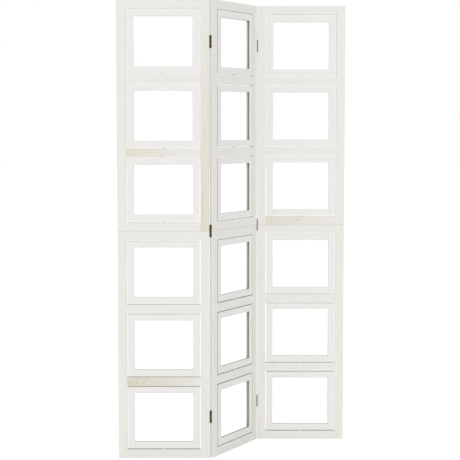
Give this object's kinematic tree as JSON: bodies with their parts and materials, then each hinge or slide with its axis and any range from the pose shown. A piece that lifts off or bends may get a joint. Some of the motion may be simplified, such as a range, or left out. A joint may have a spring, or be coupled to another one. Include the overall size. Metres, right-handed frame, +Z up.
{
  "type": "photo frame room divider",
  "caption": "Folding room divider of whitewashed wood: hinged ladder panels, each holding a column of picture frames that swivel on upright pivots.",
  "frame": {"origin": "on the floor under the centre of the middle panel, which is the bottom centre of the bounding box", "axes": "+Z up, +X to the right along the outer panels, and -Y towards the front from which the left panel stands nearest"},
  "size_m": [0.8628, 0.317, 1.7],
  "materials": {
    "whitewashed_board": "whitewashed solid wood, matt, the grain and a few knots showing through",
    "whitewashed_frame": "whitewashed solid wood, matt, finer grain",
    "hinge_bronze": "dark antique bronze over steel, satin"
  },
  "bodies": {
    "left_panel": {"left_panel_left_stile": "whitewashed_board", "left_panel_right_stile": "whitewashed_board", "left_panel_rail_1": "whitewashed_board", "left_panel_rail_2": "whitewashed_board", "left_panel_rail_3": "whitewashed_board", "left_panel_rail_4": "whitewashed_board", "left_panel_rail_5": "whitewashed_board", "left_panel_rail_6": "whitewashed_board", "left_panel_rail_7": "whitewashed_board", "left_panel_rail_8": "whitewashed_board", "left_hinge_top_plain_leaf": "hinge_bronze", "left_hinge_middle_plain_leaf": "hinge_bronze", "left_hinge_bottom_plain_leaf": "hinge_bronze"},
    "middle_panel": {"middle_panel_left_stile": "whitewashed_board", "middle_panel_right_stile": "whitewashed_board", "middle_panel_rail_1": "whitewashed_board", "middle_panel_rail_2": "whitewashed_board", "middle_panel_rail_3": "whitewashed_board", "middle_panel_rail_4": "whitewashed_board", "middle_panel_rail_5": "whitewashed_board", "middle_panel_rail_6": "whitewashed_board", "middle_panel_rail_7": "whitewashed_board", "middle_panel_rail_8": "whitewashed_board", "left_hinge_top_pin_leaf": "hinge_bronze", "left_hinge_middle_pin_leaf": "hinge_bronze", "left_hinge_bottom_pin_leaf": "hinge_bronze", "right_hinge_top_pin_leaf": "hinge_bronze", "right_hinge_middle_pin_leaf": "hinge_bronze", "right_hinge_bottom_pin_leaf": "hinge_bronze"},
    "right_panel": {"right_panel_left_stile": "whitewashed_board", "right_panel_right_stile": "whitewashed_board", "right_panel_rail_1": "whitewashed_board", "right_panel_rail_2": "whitewashed_board", "right_panel_rail_3": "whitewashed_board", "right_panel_rail_4": "whitewashed_board", "right_panel_rail_5": "whitewashed_board", "right_panel_rail_6": "whitewashed_board", "right_panel_rail_7": "whitewashed_board", "right_panel_rail_8": "whitewashed_board", "right_hinge_top_plain_leaf": "hinge_bronze", "right_hinge_middle_plain_leaf": "hinge_bronze", "right_hinge_bottom_plain_leaf": "hinge_bronze"},
    "left_frame_1": {"left_picture_frame_1": "whitewashed_frame"},
    "left_frame_2": {"left_picture_frame_2": "whitewashed_frame"},
    "left_frame_3": {"left_picture_frame_3": "whitewashed_frame"},
    "left_frame_4": {"left_picture_frame_4": "whitewashed_frame"},
    "left_frame_5": {"left_picture_frame_5": "whitewashed_frame"},
    "left_frame_6": {"left_picture_frame_6": "whitewashed_frame"},
    "middle_frame_1": {"middle_picture_frame_1": "whitewashed_frame"},
    "middle_frame_2": {"middle_picture_frame_2": "whitewashed_frame"},
    "middle_frame_3": {"middle_picture_frame_3": "whitewashed_frame"},
    "middle_frame_4": {"middle_picture_frame_4": "whitewashed_frame"},
    "middle_frame_5": {"middle_picture_frame_5": "whitewashed_frame"},
    "middle_frame_6": {"middle_picture_frame_6": "whitewashed_frame"},
    "right_frame_1": {"right_picture_frame_1": "whitewashed_frame"},
    "right_frame_2": {"right_picture_frame_2": "whitewashed_frame"},
    "right_frame_3": {"right_picture_frame_3": "whitewashed_frame"},
    "right_frame_4": {"right_picture_frame_4": "whitewashed_frame"},
    "right_frame_5": {"right_picture_frame_5": "whitewashed_frame"},
    "right_frame_6": {"right_picture_frame_6": "whitewashed_frame"}
  },
  "joints": [
    {"name": "left_panel_fold", "type": "hinge", "parent": "middle_panel", "child": "left_panel", "pos_m": [-0.09112, -0.14401, 0.85], "axis": [0, 0, -1], "range_deg": [-60.2, 119.8]},
    {"name": "right_panel_fold", "type": "hinge", "parent": "middle_panel", "child": "right_panel", "pos_m": [0.09112, 0.14401, 0.85], "axis": [0, 0, -1], "range_deg": [-60.2, 119.8]},
    {"name": "left_frame_1_swivel", "type": "hinge", "parent": "left_panel", "child": "left_frame_1", "pos_m": [-0.26137, -0.15151, 1.54742], "axis": [0, 0, 1], "continuous": true},
    {"name": "left_frame_2_swivel", "type": "hinge", "parent": "left_panel", "child": "left_frame_2", "pos_m": [-0.26137, -0.15151, 1.27525], "axis": [0, 0, 1], "continuous": true},
    {"name": "left_frame_3_swivel", "type": "hinge", "parent": "left_panel", "child": "left_frame_3", "pos_m": [-0.26137, -0.15151, 1.00308], "axis": [0, 0, 1], "continuous": true},
    {"name": "left_frame_4_swivel", "type": "hinge", "parent": "left_panel", "child": "left_frame_4", "pos_m": [-0.26137, -0.15151, 0.69692], "axis": [0, 0, 1], "continuous": true},
    {"name": "left_frame_5_swivel", "type": "hinge", "parent": "left_panel", "child": "left_frame_5", "pos_m": [-0.26137, -0.15151, 0.42475], "axis": [0, 0, 1], "continuous": true},
    {"name": "left_frame_6_swivel", "type": "hinge", "parent": "left_panel", "child": "left_frame_6", "pos_m": [-0.26137, -0.15151, 0.15258], "axis": [0, 0, 1], "continuous": true},
    {"name": "middle_frame_1_swivel", "type": "hinge", "parent": "middle_panel", "child": "middle_frame_1", "pos_m": [0, 0, 1.54742], "axis": [0, 0, 1], "continuous": true},
    {"name": "middle_frame_2_swivel", "type": "hinge", "parent": "middle_panel", "child": "middle_frame_2", "pos_m": [0, 0, 1.27525], "axis": [0, 0, 1], "continuous": true},
    {"name": "middle_frame_3_swivel", "type": "hinge", "parent": "middle_panel", "child": "middle_frame_3", "pos_m": [0, 0, 1.00308], "axis": [0, 0, 1], "continuous": true},
    {"name": "middle_frame_4_swivel", "type": "hinge", "parent": "middle_panel", "child": "middle_frame_4", "pos_m": [0, 0, 0.69692], "axis": [0, 0, 1], "continuous": true},
    {"name": "middle_frame_5_swivel", "type": "hinge", "parent": "middle_panel", "child": "middle_frame_5", "pos_m": [0, 0, 0.42475], "axis": [0, 0, 1], "continuous": true},
    {"name": "middle_frame_6_swivel", "type": "hinge", "parent": "middle_panel", "child": "middle_frame_6", "pos_m": [0, 0, 0.15258], "axis": [0, 0, 1], "continuous": true},
    {"name": "right_frame_1_swivel", "type": "hinge", "parent": "right_panel", "child": "right_frame_1", "pos_m": [0.26137, 0.15151, 1.54742], "axis": [0, 0, 1], "continuous": true},
    {"name": "right_frame_2_swivel", "type": "hinge", "parent": "right_panel", "child": "right_frame_2", "pos_m": [0.26137, 0.15151, 1.27525], "axis": [0, 0, 1], "continuous": true},
    {"name": "right_frame_3_swivel", "type": "hinge", "parent": "right_panel", "child": "right_frame_3", "pos_m": [0.26137, 0.15151, 1.00308], "axis": [0, 0, 1], "continuous": true},
    {"name": "right_frame_4_swivel", "type": "hinge", "parent": "right_panel", "child": "right_frame_4", "pos_m": [0.26137, 0.15151, 0.69692], "axis": [0, 0, 1], "continuous": true},
    {"name": "right_frame_5_swivel", "type": "hinge", "parent": "right_panel", "child": "right_frame_5", "pos_m": [0.26137, 0.15151, 0.42475], "axis": [0, 0, 1], "continuous": true},
    {"name": "right_frame_6_swivel", "type": "hinge", "parent": "right_panel", "child": "right_frame_6", "pos_m": [0.26137, 0.15151, 0.15258], "axis": [0, 0, 1], "continuous": true}
  ]
}
